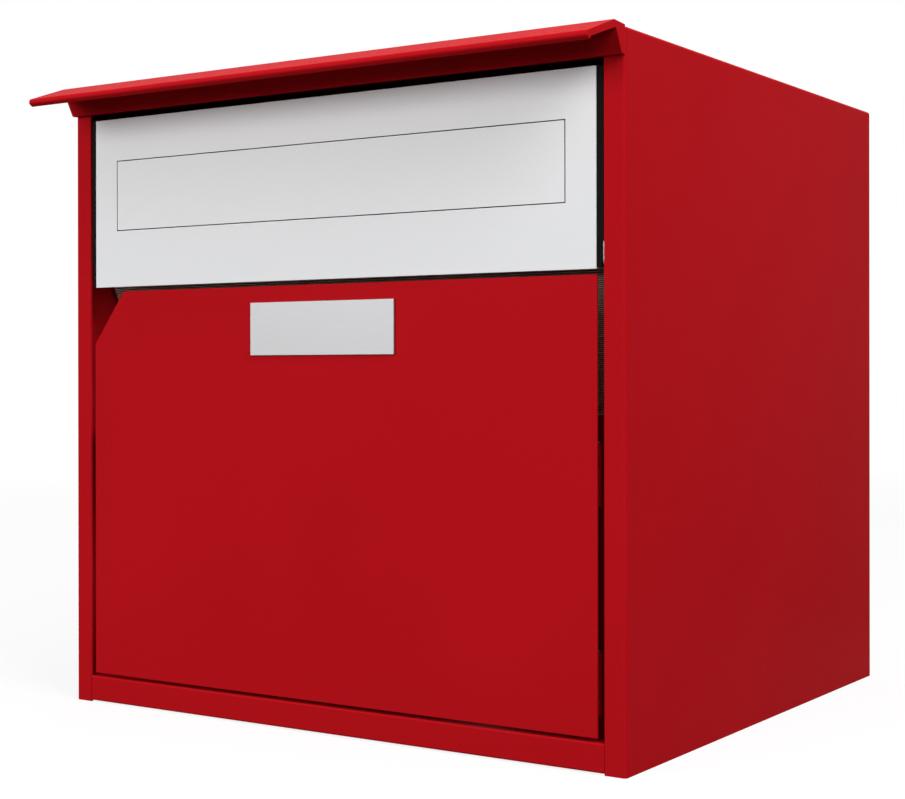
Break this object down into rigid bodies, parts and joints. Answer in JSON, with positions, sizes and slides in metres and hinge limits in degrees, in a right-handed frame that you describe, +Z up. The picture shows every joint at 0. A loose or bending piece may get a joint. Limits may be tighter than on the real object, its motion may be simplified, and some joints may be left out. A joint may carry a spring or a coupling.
{
  "type": "wall mounted post box",
  "caption": "Wall mounted post box with an inward letter flap in a top-hung panel, a side-hung parcel door below and a rain hood.",
  "frame": {"origin": "centre of the four wall holes, on the outer face of the back panel", "axes": "+Y into the wall, +Z up, +X to the right seen from the front"},
  "size_m": [0.408, 0.4116, 0.4014],
  "materials": {
    "red_paint": "semi-gloss powder coat",
    "pale_paint": "satin silver grey paint",
    "zinc_steel": "zinc plated",
    "lock_metal": "nickel plated",
    "plate_metal": "natural, fine grain",
    "black_rubber": "matt",
    "black_plastic": "matt",
    "magnet": "dull",
    "tape": "matt"
  },
  "bodies": {
    "housing": {"body_shell": "red_paint", "bottom_tray": "red_paint", "back_panel": "red_paint", "rain_hood": "red_paint", "hood_screws": "zinc_steel", "tray_rail_left": "red_paint", "tray_rail_right": "red_paint", "letter_tray": "red_paint", "tray_screws": "zinc_steel", "ribbed_guard": "zinc_steel", "lock_body": "lock_metal", "lock_nut": "zinc_steel", "pivot_stud_left": "zinc_steel", "pivot_stud_right": "zinc_steel", "hinge_bracket_lower": "red_paint", "hinge_bracket_upper": "red_paint", "hinge_pins": "zinc_steel", "magnet_bracket": "red_paint", "magnet_housing": "black_plastic", "magnet_bar": "magnet", "magnet_screws": "zinc_steel"},
    "cam": {"lock_cam": "zinc_steel", "lock_cam_screw": "zinc_steel"},
    "letter_door": {"letter_panel": "pale_paint", "letter_gasket": "black_rubber", "letter_chassis": "zinc_steel", "letter_door_buffers": "black_rubber", "flap_bracket_left": "zinc_steel", "flap_bracket_right": "zinc_steel", "flap_rod": "zinc_steel"},
    "flap": {"letter_flap": "pale_paint", "flap_spring_left": "zinc_steel", "flap_spring_right": "zinc_steel"},
    "parcel_door": {"door_panel": "red_paint", "door_inner_pan": "red_paint", "nameplate": "plate_metal", "nameplate_tape": "tape", "hinge_lug_lower": "red_paint", "hinge_lug_upper": "red_paint", "strike_plate": "zinc_steel"}
  },
  "joints": [
    {"name": "parcel_door_hinge", "type": "hinge", "parent": "housing", "child": "parcel_door", "pos_m": [0.18, -0.362, -0.0965], "axis": [0, 0, 1], "range_deg": [0, 100]},
    {"name": "letter_door_hinge", "type": "hinge", "parent": "housing", "child": "letter_door", "pos_m": [0, -0.3635, 0.1764], "axis": [-1, 0, 0], "range_deg": [0, 85]},
    {"name": "flap_hinge", "type": "hinge", "parent": "letter_door", "child": "flap", "pos_m": [0, -0.3615, 0.1503], "axis": [1, 0, 0], "range_deg": [0, 60], "stiffness_Nm_per_rad": 0.02, "springref_deg": -68.75},
    {"name": "lock_turn", "type": "hinge", "parent": "housing", "child": "cam", "pos_m": [-0.12, -0.32, 0.0919], "axis": [0, 0, -1], "range_deg": [0, 90]}
  ]
}
